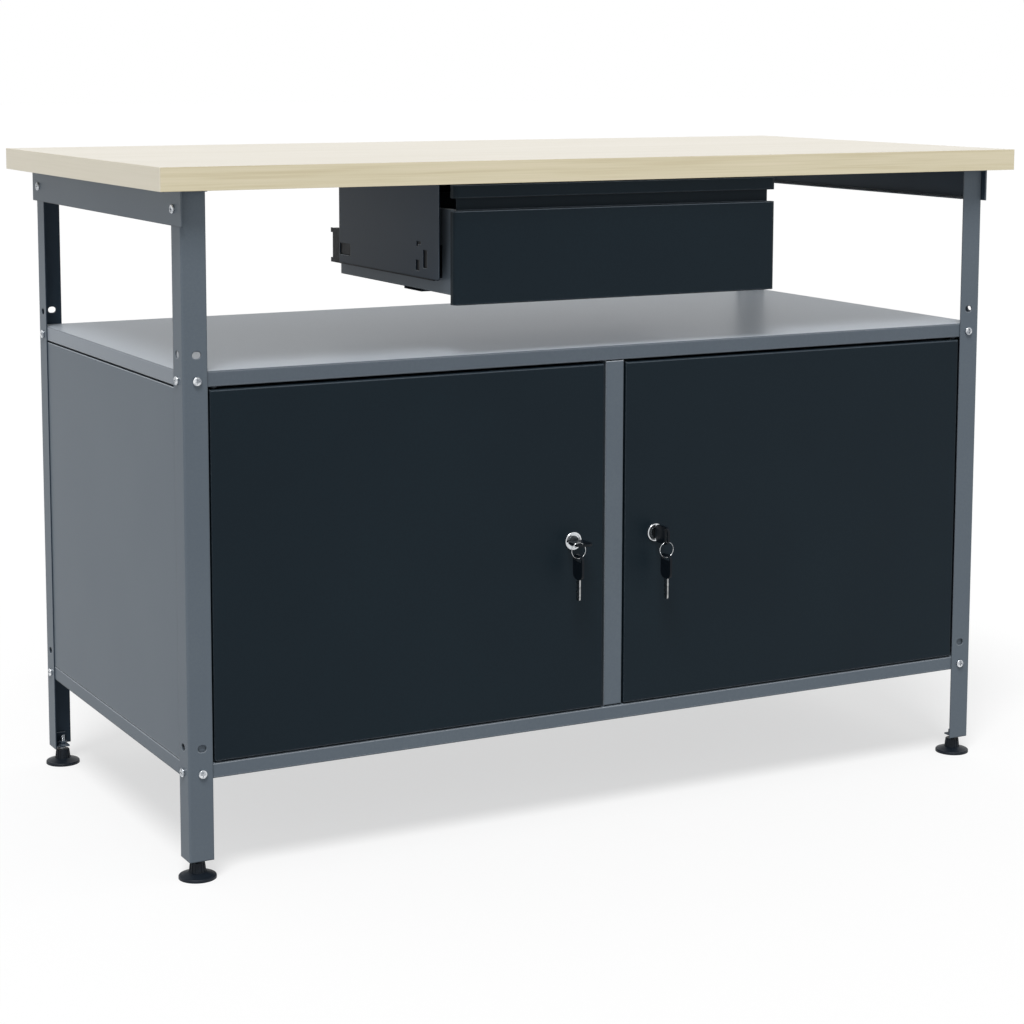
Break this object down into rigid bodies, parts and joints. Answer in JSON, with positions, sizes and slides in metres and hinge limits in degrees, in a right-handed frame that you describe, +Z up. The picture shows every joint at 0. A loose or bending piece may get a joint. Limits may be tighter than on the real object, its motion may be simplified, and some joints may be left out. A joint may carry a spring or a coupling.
{
  "type": "workbench",
  "caption": "Steel-framed workbench with a thick worktop, a lockable cabinet with hinged doors, an open shelf above it and a drawer hung on telescopic slides.",
  "frame": {"origin": "on the floor, at the middle of the bench's outline seen from above", "axes": "+X to the right along the bench, +Y to the rear, +Z up; the doors and the drawer face -Y"},
  "size_m": [1.2, 0.6134, 0.832],
  "materials": {
    "laminate": "chipboard faced with pale matt laminate",
    "edge_band": "cream plastic edge band, satin",
    "grey_paint": "fine-grained mid-grey powder coat",
    "dark_paint": "fine-grained anthracite powder coat",
    "zinc_steel": "bright zinc plate",
    "black_zinc": "black zinc plate",
    "chrome": "polished chrome plate",
    "key_steel": "nickel-plated steel",
    "black_plastic": "moulded black plastic, satin"
  },
  "bodies": {
    "frame": {"worktop_board": "laminate", "worktop_edge_bands": "edge_band", "leg_front_left": "grey_paint", "leg_front_right": "grey_paint", "leg_rear_left": "grey_paint", "leg_rear_right": "grey_paint", "side_rail_left": "grey_paint", "side_rail_right": "grey_paint", "worktop_screws": "zinc_steel", "cabinet_shelf": "grey_paint", "cabinet_floor": "grey_paint", "side_panel_left": "grey_paint", "side_panel_right": "grey_paint", "rear_panel": "grey_paint", "centre_post": "grey_paint", "frame_bolts": "zinc_steel", "frame_nuts": "zinc_steel", "foot_brackets": "grey_paint", "door_pivot_bushes": "black_plastic", "drawer_hanger_left": "dark_paint", "drawer_hanger_right": "dark_paint", "hanger_brace": "dark_paint", "slide_outer_left": "black_zinc", "slide_outer_right": "black_zinc"},
    "drawer": {"drawer_box": "grey_paint", "drawer_front": "dark_paint", "drawer_stiffener": "dark_paint", "slide_inner_left": "black_zinc", "slide_inner_right": "black_zinc"},
    "slide_middles": {"slide_middle_left": "black_zinc", "slide_middle_right": "black_zinc"},
    "door_left": {"door_panel_left": "dark_paint", "door_pins_left": "black_zinc", "lock_housing_left": "chrome", "lock_nut_left": "zinc_steel"},
    "plug_left": {"lock_plug_left": "chrome", "lock_cam_left": "zinc_steel", "cam_screw_left": "zinc_steel", "key_blades_left": "key_steel", "key_bows_left": "black_plastic", "key_ring_left": "key_steel"},
    "door_right": {"door_panel_right": "dark_paint", "door_pins_right": "black_zinc", "lock_housing_right": "chrome", "lock_nut_right": "zinc_steel"},
    "plug_right": {"lock_plug_right": "chrome", "lock_cam_right": "zinc_steel", "cam_screw_right": "zinc_steel", "key_blades_right": "key_steel", "key_bows_right": "black_plastic", "key_ring_right": "key_steel"},
    "foot_front_left": {"foot_front_left": "black_plastic", "foot_screw_front_left": "zinc_steel"},
    "foot_front_right": {"foot_front_right": "black_plastic", "foot_screw_front_right": "zinc_steel"},
    "foot_rear_left": {"foot_rear_left": "black_plastic", "foot_screw_rear_left": "zinc_steel"},
    "foot_rear_right": {"foot_rear_right": "black_plastic", "foot_screw_rear_right": "zinc_steel"}
  },
  "joints": [
    {"name": "door_left_hinge", "type": "hinge", "parent": "frame", "child": "door_left", "pos_m": [-0.5292, -0.2674, 0.36], "axis": [0, 0, -1], "range_deg": [0, 105]},
    {"name": "door_right_hinge", "type": "hinge", "parent": "frame", "child": "door_right", "pos_m": [0.5292, -0.2674, 0.36], "axis": [0, 0, 1], "range_deg": [0, 105]},
    {"name": "lock_left_turn", "type": "hinge", "parent": "door_left", "child": "plug_left", "pos_m": [-0.0595, -0.27, 0.357], "axis": [0, -1, 0], "range_deg": [0, 90]},
    {"name": "lock_right_turn", "type": "hinge", "parent": "door_right", "child": "plug_right", "pos_m": [0.0595, -0.27, 0.357], "axis": [0, 1, 0], "range_deg": [0, 90]},
    {"name": "drawer_slide", "type": "slide", "parent": "frame", "child": "drawer", "axis": [0, -1, 0], "range_m": [0, 0.3]},
    {"name": "slide_middle", "type": "slide", "parent": "frame", "child": "slide_middles", "axis": [0, -1, 0], "range_m": [0, 0.15]},
    {"name": "foot_front_left_height", "type": "slide", "parent": "frame", "child": "foot_front_left", "axis": [0, 0, -1], "range_m": [0, 0.008]},
    {"name": "foot_front_right_height", "type": "slide", "parent": "frame", "child": "foot_front_right", "axis": [0, 0, -1], "range_m": [0, 0.008]},
    {"name": "foot_rear_left_height", "type": "slide", "parent": "frame", "child": "foot_rear_left", "axis": [0, 0, -1], "range_m": [0, 0.008]},
    {"name": "foot_rear_right_height", "type": "slide", "parent": "frame", "child": "foot_rear_right", "axis": [0, 0, -1], "range_m": [0, 0.008]}
  ],
  "couplings": [
    {"joint": "slide_middle", "follows": "drawer_slide", "ratio": 0.5}
  ]
}
